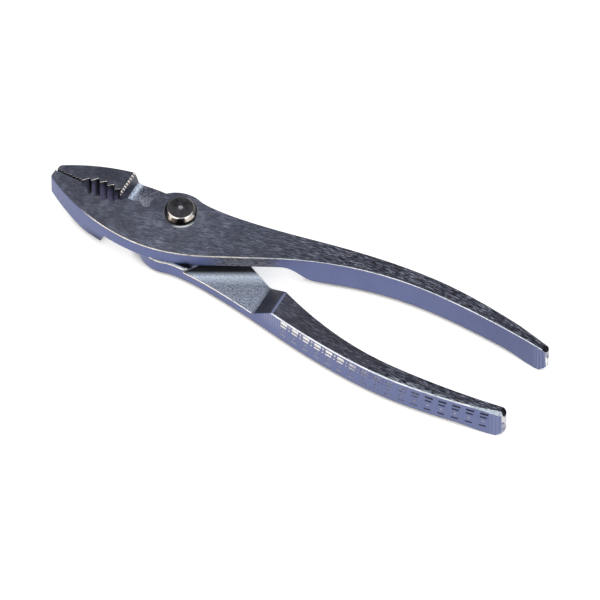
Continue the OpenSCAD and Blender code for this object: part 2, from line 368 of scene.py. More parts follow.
# The near edge of each handle end has caught the wheel, so it carries paler flecks
edge_share = ground.times(ground.within(bow["Aside"], 14.4, 15.6), ground.along(98, 110),
                          ground.fade(bow["Streak"], 0.46, 0.58, 0, 0.85), ground.across(1, -1))
bold = ground.layers(
    ground.mix(ground.fade(bow["Streak"], 0.37, 0.48), (0.018, 0.018, 0.024),
               (0.066, 0.070, 0.094)),
    (ground.fade(bow["Streak"], 0.54, 0.68), (0.36, 0.38, 0.47)),
    (near_root, ground.mix(cloud, (0.036, 0.036, 0.046), (0.080, 0.081, 0.103))),
    (edge_share, (0.40, 0.47, 0.55)))
# A painted reflection makes a pale crescent beside the bolt head, where the steel is less metallic
head = ground.vector("SUBTRACT", ground.place, (pivot.x, pivot.y, top))
lean = ground.vector("DOT_PRODUCT", head, GLINT_SIDE)
crescent = ground.times(ground.within(ground.vector("LENGTH", head), 7.15, 6.85),
                        ground.within(lean, 5.2, 6.4, 0, 0.95))
# The last half millimetre of the top at each handle end is painted nearly black as shade
base = ground.layers(
    ground.mix(ground.along(20, 64), calm, bold),
    (crescent, (0.92, 0.97, 0.98)),
    (ground.along(147.0, 147.5, 0, 0.9), (0.010, 0.010, 0.013)))
ground.link(ground.fade(crescent, 0, 1, 1, 0.1), "Metallic")
ground.dress(base, brush, 0.46, 0.32)
ground.dent(brush, 0.04 * MM, 0.35)

# %% [markdown]
# The flanks were only trimmed and tumbled, so they are a cool satin. A slow cloud keeps the
# tone alive, file strokes cross the root and the end of a handle, and the throat is left
# gritty. The flanks are plain walls, so masks by place are enough and no extra geometry is
# needed.

# %% Satin flanks
flank = Finish("satin_flank")
cloud = flank.marks(clouds, Size=60)["Cloud"]
scratch = flank.marks(streaks, Along=2600, Across=240)["Streak"]
grit = flank.marks(streaks, Along=520, Across=1700)["Streak"]
# Towards the end, the lower half's flank is painted lighter and the upper half's darker, as light
# and shade
end_tone = flank.mix(flank.across(-1, 1), (0.19, 0.22, 0.385), (0.085, 0.097, 0.20))
# File strokes show at the root and the end of the handle
at_root = flank.times(flank.along(46, 49), flank.along(61, 56), flank.across(-7, -9),
                      flank.upward(5, 10, 0, 0.6), flank.waves(290, 0.8, "X"))
at_end = flank.times(flank.along(143, 145.5, 0, 0.5), flank.waves(230, 1.5, "X"))
# Painted shade darkens the lower corner of the heel of the jaw
heel = flank.times(flank.along(-33, -24.2), flank.along(-20, -22), flank.upward(7.5, 4, 0, 0.92))
# Painted shade darkens the lower edge of a handle along its straight part
low_edge = flank.times(flank.upward(2.3, 1.9, 0, 0.6), flank.along(134, 128))
# Between the teeth the light fades towards the top
gullet = flank.times(flank.along(-24, -25), flank.along(-46.5, -45.5), flank.across(-6, -5))
shade = flank.mix(flank.upward(TOP - 4, TOP - 0.8), (0.072, 0.070, 0.140), (0.034, 0.034, 0.062))
throat = flank.times(flank.along(17, 25), flank.along(44, 37), flank.upward(LAP, LAP + 0.1))
gritty = flank.mix(flank.fade(grit, 0.34, 0.66), (0.085, 0.082, 0.095), (0.36, 0.345, 0.355))
base = flank.layers(
    flank.mix(cloud, (0.138, 0.161, 0.320), (0.164, 0.189, 0.362)),
    (flank.along(80, 130, 0, 0.45), end_tone),
    (flank.fade(scratch, 0.45, 0.75, 0, 0.3), (0.10, 0.112, 0.22)),
    (at_root, (0.32, 0.34, 0.48)),
    (at_end, (0.26, 0.29, 0.44)),
    (heel, (0.018, 0.018, 0.042)),
    (low_edge, (0.045, 0.048, 0.095)),
    (gullet, shade),
    (throat, gritty))
flank.dress(base, scratch, 0.42, 0.34)
flank.dent(scratch, 0.02 * MM, 0.2)

# %% [markdown]
# The lap recesses keep the skin of the forging die: grey and grainy. A painted highlight makes a
# pale band beside the upper half, and a painted shadow a dark band under its edge. Two grains of
# different size make the skin, and the bands are measured slantwise, because they follow the edge
# of the other half.

# %% Forged recesses
forged = Finish("forged_recess")
fine = forged.marks(grain, Size=3800)
coarse = forged.marks(grain, Size=1500)["Grain"]
behind = forged.along(0, 8)
near = forged.across(11, 7.5)
dark = forged.layers((0.024, 0.026, 0.042), (near, (0.080, 0.084, 0.115)),
                     (behind, (0.105, 0.120, 0.165)))
pale = forged.layers((0.14, 0.146, 0.20), (near, (0.40, 0.41, 0.50)), (behind, (0.46, 0.52, 0.65)))
# A painted highlight makes a pale band beside the upper half, and a painted shadow a dark one under
# it. Both run slantwise, so they are measured across their length
across_band = forged.vector("DOT_PRODUCT", forged.place, (0.48, -0.877, 0))
low_floor = forged.times(forged.upward(LAP - 0.5, LAP - 1), behind)
band = forged.times(forged.within(across_band, -4.8, -0.9, 1, 0), low_floor)
shadow_band = forged.times(forged.within(across_band, -7.5, -5.2, 0.98, 0), low_floor)
# Painted highlights at the foot of the wall beside the notch and along the rim of the pad, and a
# painted shadow on the pad beside the upper half
foot = forged.times(forged.along(-21.2, -19.8, 1, 0), forged.fade(coarse, 0.38, 0.52, 0.55, 1))
on_pad = forged.times(forged.upward(LAP - 0.5, LAP - 0.2), forged.along(-6, -3))
painted_highlight = forged.times(forged.across(-11.9, -12.4, 0, 0.9), on_pad)
pad_shadow = forged.times(forged.across(-12.2, -11.8, 0, 0.95), forged.across(-9.6, -10.4), on_pad)
glow = forged.most(band, foot, painted_highlight)
bright = forged.mix(forged.fade(coarse, 0.38, 0.60), (0.44, 0.55, 0.74), (0.80, 0.88, 0.98))
both = sum_of(forged.tree, coarse, fine["Grain"])
base = forged.layers(
    forged.mix(forged.fade(both, 0.84, 1.16), dark, pale),
    (forged.fade(fine["Sparkle"], 0, 1, 0, 0.35), (0.60, 0.66, 0.74)),
    (glow, bright),
    (forged.most(shadow_band, pad_shadow), (0.006, 0.006, 0.009)))
forged.link(forged.fade(glow, 0, 1, 1, 0.35), "Metallic")
forged.dress(base, fine["Grain"], 0.6, 0.42)
forged.dent(fine["Grain"], 0.12 * MM, 0.5)

# %% [markdown]
# The ramps up to a handle and the wall beside the cutting notch were pressed smooth by the
# die. They face away from the light, so they are dark and need little more than a soft cloud
# and a faint grain.

# %% Ramps and walls
ramp = Finish("dark_ramp")
fine = ramp.marks(grain, Size=1500)["Grain"]
cloud = ramp.marks(clouds, Size=220)["Cloud"]
base = ramp.layers(
    ramp.mix(cloud, (0.060, 0.063, 0.088), (0.105, 0.113, 0.155)),
    (ramp.along(-19, -20), ramp.mix(cloud, (0.095, 0.098, 0.125), (0.165, 0.170, 0.205))),
    (ramp.fade(fine, 0.5, 0.75, 0, 0.5), (0.16, 0.17, 0.21)))
ramp.dress(base, fine, 0.5, 0.36)
ramp.dent(fine, 0.1 * MM, 0.3)

# %% [markdown]
# The walls between the teeth were cut once and never touched again. Hardly any light gets in,
# so they are nearly black, with a little lilac low in the wide gullets.

# %% Tooth walls
teeth = Finish("tooth_wall")
scratch = teeth.marks(streaks, Along=3000, Across=200)["Streak"]
cloud = teeth.marks(clouds, Size=300)["Cloud"]
wide = teeth.times(teeth.along(-32.6, -31.8), teeth.along(-25.6, -26.4),
                   teeth.upward(TOP - 2, TOP - 4.5, 0, 0.8))
base = teeth.layers(
    teeth.mix(cloud, (0.020, 0.020, 0.036), (0.042, 0.042, 0.074)),
    (wide, (0.066, 0.064, 0.125)),
    (teeth.fade(scratch, 0.45, 0.7, 0, 0.5), (0.07, 0.07, 0.12)))
teeth.dress(base, scratch, 0.45, 0.32)

# %% [markdown]
# Handling polishes the edges, and a painted highlight makes them bright as well: creamy at the
# jaws, cooler on the handles, with darker nicks. Edge wear can be found by a shader, but the rims
# here are real faces from a bevel, so they simply get a finish of their own. Beads on the rim of
# the notch are where wire was cut.

# %% Worn edges
worn_and_lit = Finish("worn_lit_edge")
nick = worn_and_lit.marks(grain, Size=1100)["Grain"]
cloud = worn_and_lit.marks(clouds, Size=160)["Cloud"]
# Painted highlight: creamy on the jaws and white on the handles
cream = worn_and_lit.mix(cloud, (0.60, 0.56, 0.52), (0.98, 0.92, 0.84))
white = worn_and_lit.mix(cloud, (0.56, 0.60, 0.69), (0.90, 0.95, 1.0))
# On the nose the near rim is as dull as the flank
dull = worn_and_lit.times(worn_and_lit.along(-26, -34), worn_and_lit.across(0, -1.5))
# Cutting wire has beaded the upper edge of the wall at the notch
beads = worn_and_lit.fade(worn_and_lit.waves(230, 1.2, "Y"), 0.55, 0.30, 0, 0.95)
notch = worn_and_lit.times(worn_and_lit.along(-25.5, -25), worn_and_lit.along(-20, -21), worn_and_lit.across(1.2, 1.6), beads)
base = worn_and_lit.layers(
    worn_and_lit.mix(worn_and_lit.along(20, 45), cream, white),
    (worn_and_lit.fade(nick, 0.53, 0.65, 0, 0.7), (0.16, 0.16, 0.20)),
    (dull, (0.12, 0.13, 0.20)),
    (notch, (0.045, 0.045, 0.055)))
worn_and_lit.dress(base, nick, 0.22, 0.4)

# %% [markdown]
# The grip marks are stamped cold. Their colour is painted light and shade: they turn from a cream
# painted highlight at the root of a handle through lilac to nearly black painted shade at its end,
# by their place along the tool.

# %% Stamped grip marks
stamped = Finish("stamped_mark")
nick = stamped.marks(grain, Size=1500)["Grain"]
low_rows = stamped.upward(TOP - 5.6, TOP - 6)
dot_row = stamped.times(low_rows, stamped.upward(TOP - 8.6, TOP - 8.2))
bright = stamped.mix(nick, (0.75, 0.72, 0.70), (1.0, 0.98, 0.93))
pale = stamped.mix(nick, (0.20, 0.21, 0.31), (0.58, 0.57, 0.62))
muted = stamped.mix(stamped.fade(nick, 0.35, 0.65), (0.10, 0.11, 0.19), (0.44, 0.44, 0.52))
dark = stamped.mix(nick, (0.022, 0.022, 0.034), (0.095, 0.095, 0.135))
dots = stamped.mix(nick, (0.24, 0.25, 0.34), (0.68, 0.68, 0.72))
# Painted highlight at the root of a handle, fading to painted shade at its end
base = stamped.layers(
    stamped.mix(low_rows, bright, pale),
    (stamped.along(82, 95), muted),
    (stamped.along(109, 121), stamped.mix(dot_row, dark, dots)))
stamped.dress(base, nick, 0.25, 0.45)

# %% [markdown]
# The bolt head turns on a spot face, and a painted reflection makes a pale crescent beside it. The
# ground strip at the end of the lower handle is pale too, so both share one finish.

# %% Spot face
seat = Finish("seat_glint_and_strip")
nick = seat.marks(grain, Size=1300)["Grain"]
offset = seat.vector("SUBTRACT", seat.place, (pivot.x, pivot.y, 0))
# Painted reflection: a pale crescent on the front of the spot face, less metallic than the rest
painted_highlight = seat.within(seat.vector("DOT_PRODUCT", offset, GLINT_SIDE), 4.6, 6.2)
pale = seat.mix(nick, (0.80, 0.88, 0.92), (0.96, 1, 1))
strip = seat.mix(seat.fade(nick, 0.36, 0.62), (0.20, 0.25, 0.33), (0.66, 0.76, 0.86))
base = seat.layers((0.24, 0.25, 0.30), (painted_highlight, pale), (seat.along(60, 70), strip))
dull = seat.times(painted_highlight, seat.along(70, 60))
seat.link(seat.fade(dull, 0, 1, 1, 0.1), "Metallic")
seat.dress(base, nick, 0.35, 0.5)

# %% [markdown]
# The ends are cropped and not ground, so they catch the light in facets. A coarse grain with a
# few bright cells gives that broken look.

# %% Blunt handle ends
blunt = Finish("blunt_end")
nick = blunt.marks(grain, Size=420)
# Painted highlight: the lower part of the upper handle's end is nearly white
far_end = blunt.times(blunt.across(-1, 1), blunt.upward(8.5, 7))
base = blunt.layers(
    blunt.mix(blunt.fade(nick["Grain"], 0.36, 0.60), (0.15, 0.17, 0.27), (0.42, 0.43, 0.50)),
    (blunt.fade(nick["Sparkle"], 0, 1, 0, 0.8), (1, 0.96, 0.88)),
    (far_end, blunt.mix(nick["Grain"], (0.92, 0.92, 0.94), (1, 1, 1))))
blunt.dress(base, nick["Grain"], 0.25, 0.4)

# %% [markdown]
# A mesh refers to its finishes by number. Naming the numbers once keeps the later cells
# readable.

# %% Order of the finishes on a forging
ORDER = [ground, flank, forged, ramp, teeth, worn_and_lit, stamped, seat, blunt]
FINISHES = [finish.material for finish in ORDER]
GROUND, FLANK, FORGED, RAMP, TEETH, WORN_AND_LIT, STAMPED, SEAT, BLUNT = range(len(FINISHES))
print("finishes:", [material.name for material in FINISHES])

# %% [markdown]
# ## Shaping a forging
#
# A half of the tool is a drop forging, so its plan is already right in the CAD solid. The
# imported mesh is loose triangles. A copy is merged and its flat triangles are joined into
# whole faces, and then the forging is worked as a smith would: bends are eased, the outer
# edge of the handle end is ground off, and the grip marks are stamped in. The rims get their
# rounding last, from a Bevel modifier that reads a width from each edge.


# %% Copy of a CAD node
def copied(node):
    """Bmesh copy of a CAD node, with its triangles joined into flat faces."""
    shape = bmesh.new()
    shape.from_mesh(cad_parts[node].data)
    bmesh.ops.remove_doubles(shape, verts=shape.verts, dist=0.002 * MM)
    bmesh.ops.dissolve_limit(shape, angle_limit=math.radians(0.2), verts=shape.verts,
                             edges=shape.edges)
    return shape


def cut(shape, faces, point, normal, **options):
    """Cuts faces with a plane, and gives what the operator made."""
    parts = {*faces, *(e for f in faces for e in f.edges), *(v for f in faces for v in f.verts)}
    return bmesh.ops.bisect_plane(shape, geom=list(parts), dist=0.001 * MM, plane_co=point,
                                  plane_no=normal, **options)


def sliced(shape, chosen, places, axis):
    """Cuts the chosen faces with planes across an axis, at each of the places."""
    for place in places:
        cut(shape, [face for face in shape.faces if chosen(face)], axis * place, axis)
        shape.normal_update()


print("copy and slice ready")

# %% [markdown]
# A forging has no sharp bend underneath, because hot steel flows round the radii of the die.
# The solid has straight bends, which are simple to build and to measure. A bevel would round
# only the edge itself, so the underside is sliced every millimetre instead, and each height
# becomes a mean over its neighbours.

# %% Ease the bends of the underside
def height_on(corners, x):
    """Height at x of a bent line through corners [x, z], all in mm."""
    for (x0, z0), (x1, z1) in zip(corners, corners[1:]):
        if x <= x1:
            return z0 + (z1 - z0) * (x - x0) / (x1 - x0)
    return corners[-1][1]


def ease_underside(shape, corners, reach, step=1.0):
    """Rounds the corners of the underside: each height becomes the mean over reach mm."""
    first, last = corners[0][0], corners[-1][0]
    places = []
    for (x0, _), (x1, _) in zip(corners, corners[1:]):
        count = round((x1 - x0) / step)
        places += [along(x0 + (x1 - x0) * i / count) for i in range(1, count + 1)]
    places.pop()
    sliced(shape, lambda f: f.normal.z < 0.5 and
           any(first < from_pivot(v.co) < last for v in f.verts), places, Vector((1, 0, 0)))
    for vert in shape.verts:
        x = from_pivot(vert.co)
        if first + reach < x < last - reach:
            if abs(vert.co.z / MM - height_on(corners, x)) < 0.02:
                samples = [x + reach * (i / 10 - 1) for i in range(21)]
                vert.co.z = MM * sum(height_on(corners, s) for s in samples) / len(samples)
    shape.normal_update()


def bent_line(shape, chosen):
    """Lowest and highest X, in mm from the pivot, and Z in mm of the chosen faces."""
    points = [vert.co for face in shape.faces if chosen(face) for vert in face.verts]
    xs = [from_pivot(point) for point in points]
    zs = [point.z / MM for point in points]
    return min(xs), max(xs), min(zs), max(zs)


print("easing ready")

# %% [markdown]
# The outer top edge of each handle end was eased on a wheel, more towards the end. One slanted
# cut with a plane does the same, and the open side is closed with a face.

# %% Grind the outer edge of a handle end
EDGE_START = 134
EDGE_Y = 20.95
EDGE_SLOPE = 0.283


def grind_handle_edge(shape, outside):
    """Takes the top outer edge off a handle, wider towards its end."""
    normal = (Vector((EDGE_SLOPE, outside, 0)).normalized() + UP).normalized()
    point = Vector((along(EDGE_START), outside * EDGE_Y * MM, top))
    made = cut(shape, shape.faces, point, normal, clear_outer=True)["geom_cut"]
    edges = [part for part in made if isinstance(part, bmesh.types.BMEdge)]
    for face in bmesh.ops.contextual_create(shape, geom=edges)["faces"]:
        face.material_index = SEAT if outside < 0 else GROUND
        for edge in face.edges:
            edge.smooth = False
    shape.normal_update()


print("edge grinding ready")

# %% [markdown]
# The grip marks are rows of short dashes and dots, stamped into the outer side of each handle
# so that it doesn't slip in the hand. Slicing the side into a grid gives faces of just the
# right size, and one inset with a negative depth sinks them all.

# %% Stamp the grip marks
MARK_FIRST = 57.9
MARK_PITCH = 5.125
MARK_GROWTH = 0.0083
MARK_COUNT = 17
MARK_CLIMB = 1.15
SNAP = 0.04
# Rows as [middle below the top face, half height, half length, shift, first and last group]
ROWS = [(2.6, 0.8, 1.55, 0, 0, 9), (2.6, 0.58, 1.55, 0, 9, 17), (4.75, 0.45, 1.35, -0.35, 0, 17),
        (7.2, 0.5, 0.5, -0.55, 0, 17), (10.0, 0.4, 1.35, -0.7, 0, 17), (2.6, 0.55, 0.32, 2.6, 0, 9),
        (4.75, 0.4, 0.3, 2.3, 0, 9)]


def stamp_marks(shape, outside):
    """Sinks the rows of marks into the outer side of a handle, and gives their faces."""
    def on_side(face):
        upright = abs(face.normal.z) < 0.1 and face.normal.y * outside > 0.9
        return upright and 54 < middle_x(face) < 146

    heights = sorted({round(middle + side * half, 3)
                      for middle, half, *_ in ROWS for side in (-1, 1)})
    sliced(shape, on_side, [top - height * MM for height in heights], UP)
    groups = [MARK_FIRST + MARK_PITCH * i + MARK_GROWTH * i * i for i in range(MARK_COUNT)]
    places = sorted({round(x + shift + side * half, 3) for _, _, half, shift, first, last in ROWS
                     for x in groups[first:last] for side in (-1, 1)})
    # A cut beside an existing corner moves onto it, because it would leave a sliver
    corners = {from_pivot(vert.co) for face in shape.faces if on_side(face) for vert in face.verts}
    nearest = [min(corners, key=lambda corner: abs(corner - x)) for x in places]
    places = [near if abs(near - x) < SNAP else x for x, near in zip(places, nearest)]
    sliced(shape, on_side, [along(x) for x in places], Vector((1, 0, 0)))
    marks = []
    for face in filter(on_side, shape.faces):
        centre = face.calc_center_median()
        x, below = from_pivot(centre), (top - centre.z) / MM
        for middle, half, half_l, shift, first, last in ROWS:
            if abs(below - middle) < half and any(abs(x - g - shift) < half_l
                                                  for g in groups[first:last]):
                marks.append(face)
                break
    for vert in shape.verts:
        if all(on_side(face) for face in vert.link_faces):
            vert.co.z += MARK_CLIMB * MM * max(0, 1 - (from_pivot(vert.co) - MARK_FIRST) / 44)
    walls = bmesh.ops.inset_region(shape, faces=marks, thickness=0.14 * MM, depth=-0.3 * MM,
                                   use_boundary=True, use_even_offset=True)
    shape.normal_update()
    return marks + walls["faces"]


print("stamping ready:", MARK_COUNT, "groups")

# %% [markdown]
# The lower corner of the jaw beside the joint is worn, and the hollow corners of the lap keep
# the radius of the die. One corner is lifted, and two hollow edges are rounded by a bevel,
# which works on hollow edges as well as on sharp ones.

# %% Blunt the heel and fillet the feet
HEEL_HEIGHT = 4.7


def blunt_heel(shape):
    """Lifts the sharp lower corner of the jaw beside the joint."""
    for vert in shape.verts:
        if -23.5 < from_pivot(vert.co) < -23 and vert.co.z < 3.5 * MM:
            vert.co.z = HEEL_HEIGHT * MM
    shape.normal_update()


def fillet_foot(shape, x, width):
    """Rounds the hollow edge where a wall or a ramp at x mm rises from the lap face."""
    edges = [edge for edge in shape.edges
             if all(abs(from_pivot(vert.co) - x) < 0.02 for vert in edge.verts)
             and not edge.is_convex and edge.calc_face_angle(0) > math.radians(25)
             and abs(edge.verts[0].co.y - edge.verts[1].co.y) > 5 * MM]
    made = bmesh.ops.bevel(shape, geom=edges, offset=width * MM, offset_type="OFFSET",
                           affect="EDGES", segments=4, profile=0.5, material=-1)
    for face in made["faces"]:
        face.smooth = True
        face.material_index = FORGED
    shape.normal_update()
    print("fillet at", x, "edges", len(edges), "faces", len(made["faces"]))


print("heel and fillets ready")

# %% [markdown]
# The foot of the back handle is rounded towards the hand, so that it doesn't catch in a pocket.
# A few slices across the end give points to move, and each moves outwards by the square of its
# distance, which makes a fair curve.

# %% Round the inner corner of a handle end
END_START = 144
END_LENGTH = 5.4
END_DEPTH = 2.0
END_SLICES = (145, 146, 147, 147.6)
FOOT_MIDDLE = 17.4
FOOT_LEAN = 0.225


def slice_foot(shape):
    """Cuts the end of a handle across, so that it has points to bend."""
    sliced(shape, lambda f: any(from_pivot(v.co) > END_START for v in f.verts),
           [along(x) for x in END_SLICES], Vector((1, 0, 0)))


def bend_foot(shape):
    """Bends the inner side of the upper handle's foot outwards, more towards the end."""
    for vert in shape.verts:
        past = from_pivot(vert.co) - END_START
        if past > 0.5 and vert.co.y / MM < FOOT_MIDDLE - FOOT_LEAN * past:
            vert.co.y += END_DEPTH * MM * (past / END_LENGTH) ** 2 * (1 - vert.co.z / top)


print("foot ready")

# %% [markdown]
# A real process reaches only certain faces: a belt only the top, a die only the recess. So
# each face gets its finish by where it points and where it lies. No face is picked by its
# number, and the choice survives a change in the solid.

# %% Choose the finish of each face
def hollow_half(x):
    """Half width in mm of the toothed zone between the jaws at x mm from the pivot."""
    return 0.7 if x < NOSE_END else 5.6


def is_toothed(point):
    """True for a point on the teeth of the nose or the pipe grip."""
    x = from_pivot(point)
    return x < GRIP_END and abs(point.y / MM - JAW_LINE) < hollow_half(x)


def is_pad_step(point):
    """True for a point on the step from the round pad of the lap down to the recess."""
    beside = abs(math.hypot(from_pivot(point), point.y / MM) - PAD_RADIUS) < 0.6
    return beside and lap - PAD_STEP * MM < point.z < lap


def finish_of(face):
    """Number of the finish that a face of a forging gets."""
    normal, centre = face.normal, face.calc_center_median()
    x = from_pivot(centre)
    # The handle end and its foot
    if x > 147 and normal.x > 0.5 and -0.2 < normal.z < 0.5:
        return BLUNT
    if x > 145 and normal.z < 0.2:
        return FLANK
    # Upright walls
    if abs(normal.z) < 0.2 and is_pad_step(centre):
        return FORGED
    if abs(normal.z) < 0.2:
        lit_tooth = centre.y > JAW_LINE * MM and normal.x > 0.2
        return TEETH if is_toothed(centre) and not lit_tooth else FLANK
    # The spot face, and what lies between the lap and the top
    if normal.z > 0.9 and math.hypot(x, (centre.y - pivot.y) / MM) < 7 and centre.z > lap + 4 * MM:
        return SEAT if centre.z < top - 0.1 * MM else GROUND
    if abs(normal.x) > 0.5 and (in_zone(x, RAMP_ZONE) or in_zone(x, WALL_ZONE)):
        return RAMP
    if -24 < x < RAMP_ZONE[1] and 2.2 * MM < centre.z < top - 2 * MM:
        return FORGED
    return GROUND


def darken_roots(shape):
    """Cuts each lit wall of the coarse teeth in two, and makes the half at its root dark as painted
    shade.
    """
    walls = [face for face in shape.faces if face.material_index == FLANK and
             is_toothed(face.calc_center_median()) and middle_x(face) > NOSE_END]
    for wall in walls:
        middle = wall.calc_center_median()
        for part in cut(shape, [wall], middle, wall.normal.cross(UP))["geom"]:
            if isinstance(part, bmesh.types.BMFace) and part.calc_center_median().y > middle.y:
                part.material_index = TEETH
    shape.normal_update()
    print("tooth walls cut:", len(walls))


def rim_finish(face, outside):
    """Number of the finish of a rounded rim: worn and bright with a painted highlight, or as dull
    as what is beside it, which on rims that face back or down is painted shade.
    """
    normal, centre = face.normal, face.calc_center_median()
    x, z = from_pivot(centre), centre.z
    # Rims of the handle end, then of the teeth
    if x > 146.6:
        return GROUND if normal.z > 0.3 and normal.x > 0.1 else BLUNT if normal.x > 0.4 else WORN_AND_LIT
    if is_toothed(centre):
        if outside < 0:
            return WORN_AND_LIT if normal.z > 0.2 and normal.x > 0.03 else TEETH
        return GROUND if normal.z > 0.25 else TEETH
    # On the upper half, the rims of the wall of the jaw and of the back of the boss are painted
    # dark as shade
    if outside > 0 and -24.6 < x < -21 and z < lap:
        return TEETH
    if outside > 0 and -20.6 < x < 0 and centre.y > 1 * MM and z > top - 1 * MM:
        return TEETH if x < -14.4 else GROUND
    # Rims that face the floor are painted dark as shade
    if normal.z < -0.15:
        return TEETH
    # On the lower half, the crest and the sides of the ramp, and the shaded edge of the pad
    if outside < 0 and 50 < x < 54.5 and abs(normal.x) > 0.1 and abs(normal.y) < 0.4:
        return FLANK
    if outside < 0 and 42.5 < x < 51.9 and z < top - 0.35 * MM:
        return FLANK
    if is_pad_step(centre) and outside < 0 and centre.y > -12.3 * MM:
        return FORGED
    # Rims at the top that face back are as dark as the top, as painted shade
    if normal.y > 0.2 and z > top - 1 * MM:
        return GROUND
    return WORN_AND_LIT


print("finishes chosen by direction and place")

# %% [markdown]
# Real edges are rounded, but not alike: fine teeth stay crisp, and the outer edge of a handle
# is broad. Each edge's width goes into a layer that the Bevel modifier reads. A width changes
# only at corners or in small steps, because a bevel can't change it suddenly along one edge.

# %% Rounding of the rims
RIM = 0.3
COARSE = 0.16
FINE = 0.05
BORE = 0.1
BROAD = 0.45
NOTCH = 0.65
CREST = 0.7
FULL_WIDTH = 1.0


def rim_width(edge, outside):
    """Width in mm of the rounding of an edge, by its place on the forging."""
    middle = (edge.verts[0].co + edge.verts[1].co) / 2
    x, y = from_pivot(middle), middle.y / MM
    if is_toothed(middle):
        return FINE if x < NOSE_END else COARSE
    if any(math.hypot(x, y - place) < BOLT_REACH for place in BOLT_SEATS):
        return BORE
    if is_pad_step(middle) and abs(edge.verts[0].co.z - edge.verts[1].co.z) > 1 * MM:
        return 0
    # Round the wire notch of the upper half the rim tapers, and along the boss it widens again
    if outside > 0 and y > 1.4 and math.hypot(x + 13.4, y - 3) < 1.6:
        turn = math.degrees(math.atan2(y - 3, x + 13.4))
        return RIM + (BORE - RIM) * (turn + 138) / 177
    if outside > 0 and -12.3 < x < 0.5 and y > 3.9:
        return BORE + (RIM - BORE) * (x + 12.3) / 12.8
    if math.hypot(x + 13, abs(y) - 3) < 1.55:
        return BORE
    # On the lower half, the wall at the notch, the crest of the ramp and the outer handle edge
    if outside < 0 and abs(x + 23.6) < 0.3 and middle.z > top - 0.1 * MM:
        return NOTCH
    if outside < 0 and 50 < x < 54 and all(face.normal.z > 0.3 for face in edge.link_faces):
        return CREST
    outer = any(face.normal.y < -0.5 for face in edge.link_faces)
    if outside < 0 and x > CREST_START and outer and middle.z > top - 0.1 * MM:
        return BROAD
    return RIM


def set_widths(shape, outside):
    """Writes the rounding of each sharp, convex edge to a layer that the modifier reads."""
    layer = shape.edges.layers.float.new("bevel_weight_edge")
    count = 0
    for edge in shape.edges:
        angle = edge.calc_face_angle(0)
        edge.smooth = angle < math.radians(30)
        stamped_edge = any(face.material_index == STAMPED for face in edge.link_faces)
        if angle > math.radians(25) and edge.is_convex and not stamped_edge:
            edge[layer] = rim_width(edge, outside) / FULL_WIDTH
            count += 1
    return count


print("rims ready")

# %% [markdown]
# These helpers turn a worked bmesh into a piece that stands for its CAD node and rides on the right
# body. A Weighted Normal modifier keeps the large faces flat beside the rounded rims.

# %% Finish a piece
def new_piece(name, shape, materials, body, node):
    """Turns a bmesh into the piece that stands for a CAD node and moves with its body."""
    mesh = bpy.data.meshes.new(name)
    shape.to_mesh(mesh)
    shape.free()
    for material in materials:
        mesh.materials.append(material)
    piece = bpy.data.objects.new(name, mesh)
    bpy.context.scene.collection.objects.link(piece)
    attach(piece, body)
    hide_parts(node)
    return piece


def round_rims(piece, width, material=-1):
    """Bevel modifier that rounds each edge by the width in its layer."""
    bevel = piece.modifiers.new("rounded_rims", "BEVEL")
    bevel.limit_method = "WEIGHT"
    bevel.width = width * MM
    bevel.segments = 3
    bevel.profile = 0.5
    bevel.use_clamp_overlap = False
    bevel.material = material


def flatten_shading(piece):
    """Modifier that lets the large faces set the normals, so that they look truly flat."""
    weighted = piece.modifiers.new("flat_faces", "WEIGHTED_NORMAL")
    weighted.keep_sharp = True
    weighted.weight = 100


print("piece helpers ready")

# %% [markdown]
# The halves are nearly the same forging turned over, so one function makes both. Only the
# upper half has the blunted heel and the eased ramp underneath, and only the lower half has
# the filleted recess on top.

# %% The two halves
# The relief under the upper half deepens by 0.8 mm over the 45.6 mm from the pivot to its ramp
LAP_FALL = 0.8 / 45.6


def make_half(node, outside):
    """Works the copy of a half into its finished forging."""
    shape = copied(node)
    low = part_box(node)[0].z / MM
    drop = bent_line(shape, lambda f: f.normal.z < -0.9 and 0.1 < abs(f.normal.x) and
                     middle_x(f) > 100)
    ease_underside(shape, [(drop[0] - 14, drop[3]), (drop[0], drop[3]), (drop[1], drop[2]),
                           (drop[1] + 5, low)], 3.5)
    if outside > 0:
        slope = bent_line(shape, lambda f: f.normal.z < -0.5 and f.normal.x < -0.5 and
                          in_zone(middle_x(f), RAMP_ZONE))
        ease_underside(shape, [(slope[0] - 16, slope[3] - 16 * LAP_FALL), (slope[0], slope[3]),
                               (slope[1], slope[2]), (slope[1] + 12, slope[2])], 2.8)
        blunt_heel(shape)
        slice_foot(shape)
    marks = stamp_marks(shape, outside)
    for face in shape.faces:
        face.smooth = True
        face.material_index = finish_of(face)
    darken_roots(shape)
    for face in marks:
        face.material_index = STAMPED
    if outside < 0:
        fillet_foot(shape, JAW_WALL, 1.3)
        fillet_foot(shape, RAMP_FOOT, 0.9)
    rims = set_widths(shape, outside)
    print(node, "faces", len(shape.faces), "marks", len(marks), "rims", rims)
    half = new_piece(node + "_forging", shape, FINISHES, node, node)
    round_rims(half, FULL_WIDTH, WORN_AND_LIT)
    rounded = bmesh.new()
    rounded.from_object(half, bpy.context.evaluated_depsgraph_get())
    half.modifiers.clear()
    for face in rounded.faces:
        if face.material_index == WORN_AND_LIT:
            face.material_index = rim_finish(face, outside)
    for vert in rounded.verts:
        vert.co.x, vert.co.z = min(vert.co.x, cad_high.x), max(vert.co.z, 0)
    if outside > 0:
        bend_foot(rounded)
    grind_handle_edge(rounded, outside)
    bmesh.ops.dissolve_degenerate(rounded, edges=rounded.edges, dist=0.001 * MM)
    rounded.to_mesh(half.data)
    rounded.free()
    flatten_shading(half)


make_half("upper_half", 1)
make_half("lower_half", -1)

